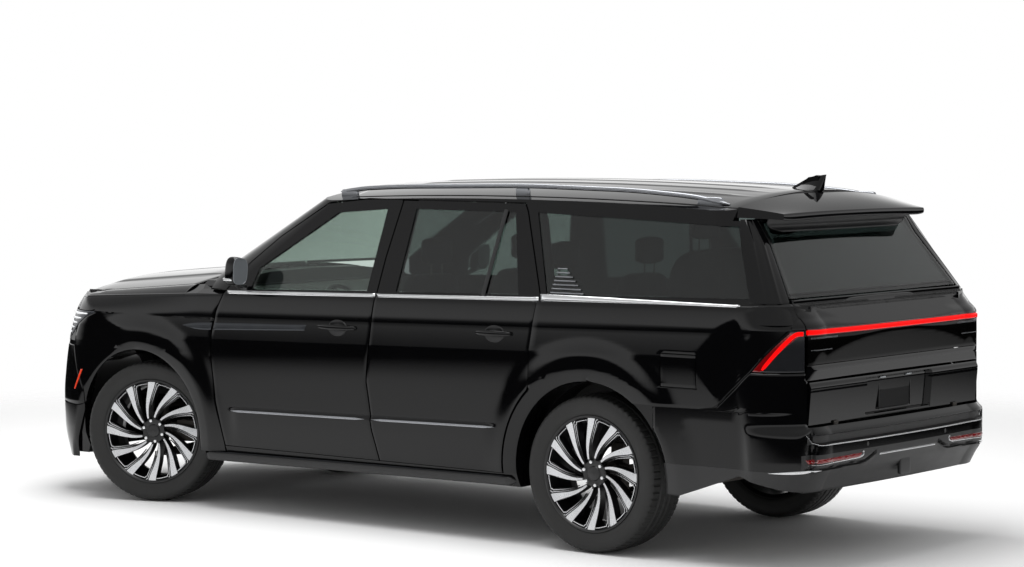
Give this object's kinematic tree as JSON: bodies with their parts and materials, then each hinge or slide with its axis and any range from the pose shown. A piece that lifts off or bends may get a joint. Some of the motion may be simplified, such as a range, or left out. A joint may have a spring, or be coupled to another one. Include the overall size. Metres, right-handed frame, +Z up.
{
  "type": "full-size sport utility vehicle",
  "caption": "Long-wheelbase family vehicle with side doors, split tailgate, steered front wheels, roof rails, wrap-round glass and a seated cabin with load space",
  "frame": {"origin": "on the ground below the middle of the vehicle", "axes": "+X forward, +Y to the vehicle's left, +Z up"},
  "size_m": [5.6359, 2.34, 1.98],
  "materials": {
    "cast_steel": "cast iron and forged steel",
    "clear_glass": "lightly tinted glass",
    "clear_lens": "clear lamp lens",
    "dark_leather": "dark leather",
    "exhaust_steel": "bare exhaust steel",
    "frame_paint": "black chassis paint",
    "gloss_black_paint": "high-gloss black body paint with clear coat",
    "interior_plastic": "soft-touch interior plastic",
    "machined_alloy": "machined alloy faces with dark pockets",
    "red_lens": "red lamp lens",
    "satin_black_trim": "satin black plastic trim",
    "satin_metal": "satin bright metal",
    "tinted_glass": "dark tinted glass",
    "tyre_rubber": "black tyre rubber with sidewall ribs"
  },
  "bodies": {
    "body": {"body_side_left": "gloss_black_paint", "body_side_right": "gloss_black_paint", "chassis_frame": "frame_paint", "cowl_panel": "satin_black_trim", "dashboard": "interior_plastic", "engine_block": "cast_steel", "exhaust": "exhaust_steel", "fender_left": "gloss_black_paint", "fender_right": "gloss_black_paint", "floor_pan": "frame_paint", "front_bumper": "gloss_black_paint", "front_seats": "dark_leather", "front_suspension": "cast_steel", "fuel_tank": "frame_paint", "grille": "satin_black_trim", "headlamps": "clear_lens", "middle_seats": "dark_leather", "propshaft": "cast_steel", "quarter_glass": "tinted_glass", "rear_bench": "dark_leather", "rear_bumper": "gloss_black_paint", "rear_suspension": "cast_steel", "roof_panel": "gloss_black_paint", "roof_rails": "satin_metal", "tail_lamps": "red_lens", "windshield": "clear_glass"},
    "hood": {"hood": "gloss_black_paint"},
    "door_front_left": {"front_door_left": "gloss_black_paint", "front_glass_left": "clear_glass", "mirror_left": "gloss_black_paint"},
    "door_front_right": {"front_door_right": "gloss_black_paint", "front_glass_right": "clear_glass", "mirror_right": "gloss_black_paint"},
    "door_rear_left": {"rear_door_left": "gloss_black_paint", "rear_glass_left": "tinted_glass"},
    "door_rear_right": {"rear_door_right": "gloss_black_paint", "rear_glass_right": "tinted_glass"},
    "upper_gate": {"liftgate": "gloss_black_paint", "liftgate_glass": "tinted_glass", "lamp_bar": "red_lens"},
    "lower_gate": {"tailgate": "gloss_black_paint"},
    "flap": {"fuel_flap": "gloss_black_paint"},
    "steering": {"steering_wheel": "interior_plastic"},
    "hub_left": {"knuckle_left": "cast_steel"},
    "hub_right": {"knuckle_right": "cast_steel"},
    "wheel_front_left": {"rim_front_left": "machined_alloy", "tyre_front_left": "tyre_rubber"},
    "wheel_front_right": {"rim_front_right": "machined_alloy", "tyre_front_right": "tyre_rubber"},
    "wheel_rear_left": {"rim_rear_left": "machined_alloy", "tyre_rear_left": "tyre_rubber"},
    "wheel_rear_right": {"rim_rear_right": "machined_alloy", "tyre_rear_right": "tyre_rubber"}
  },
  "joints": [
    {"name": "steer_left", "type": "hinge", "parent": "body", "child": "hub_left", "pos_m": [1.858, 0.79, 0.419], "axis": [0, 0, 1], "range_deg": [-56, 16]},
    {"name": "steer_right", "type": "hinge", "parent": "body", "child": "hub_right", "pos_m": [1.858, -0.79, 0.419], "axis": [0, 0, 1], "range_deg": [-56, 16]},
    {"name": "wheel_front_left_spin", "type": "hinge", "parent": "hub_left", "child": "wheel_front_left", "pos_m": [1.83577, 0.85108, 0.419], "axis": [-0.342, 0.9397, 0], "continuous": true},
    {"name": "wheel_front_right_spin", "type": "hinge", "parent": "hub_right", "child": "wheel_front_right", "pos_m": [1.88023, -0.85108, 0.419], "axis": [-0.342, 0.9397, 0], "continuous": true},
    {"name": "wheel_rear_left_spin", "type": "hinge", "parent": "body", "child": "wheel_rear_left", "pos_m": [-1.485, 0.855, 0.419], "axis": [0, 1, 0], "continuous": true},
    {"name": "wheel_rear_right_spin", "type": "hinge", "parent": "body", "child": "wheel_rear_right", "pos_m": [-1.485, -0.855, 0.419], "axis": [0, 1, 0], "continuous": true},
    {"name": "front_door_left_hinge", "type": "hinge", "parent": "body", "child": "door_front_left", "pos_m": [1.135, 0.993, 0.95], "axis": [0, 0, -1], "range_deg": [0, 65]},
    {"name": "front_door_right_hinge", "type": "hinge", "parent": "body", "child": "door_front_right", "pos_m": [1.135, -0.993, 0.95], "axis": [0, 0, 1], "range_deg": [0, 65]},
    {"name": "rear_door_left_hinge", "type": "hinge", "parent": "body", "child": "door_rear_left", "pos_m": [-0.035, 0.993, 0.95], "axis": [0, 0, -1], "range_deg": [0, 68]},
    {"name": "rear_door_right_hinge", "type": "hinge", "parent": "body", "child": "door_rear_right", "pos_m": [-0.035, -0.993, 0.95], "axis": [0, 0, 1], "range_deg": [0, 68]},
    {"name": "hood_hinge", "type": "hinge", "parent": "body", "child": "hood", "pos_m": [1.51, 0, 1.378], "axis": [0, -1, 0], "range_deg": [0, 50]},
    {"name": "liftgate_hinge", "type": "hinge", "parent": "body", "child": "upper_gate", "pos_m": [-2.292, 0, 1.88], "axis": [0, 1, 0], "range_deg": [0, 88]},
    {"name": "tailgate_hinge", "type": "hinge", "parent": "body", "child": "lower_gate", "pos_m": [-2.748, 0, 0.749], "axis": [0, -1, 0], "range_deg": [0, 90]},
    {"name": "fuel_flap_hinge", "type": "hinge", "parent": "body", "child": "flap", "pos_m": [-1.963, 1.01, 1], "axis": [0, 0, -1], "range_deg": [0, 85]},
    {"name": "steering_wheel_turn", "type": "hinge", "parent": "body", "child": "steering", "pos_m": [0.74, 0.41, 1.13], "axis": [-0.9063, 0, 0.4226], "range_deg": [-840, 240]}
  ],
  "couplings": [
    {"joint": "steer_right", "follows": "steer_left", "ratio": 1},
    {"joint": "steering_wheel_turn", "follows": "steer_left", "ratio": 15}
  ]
}
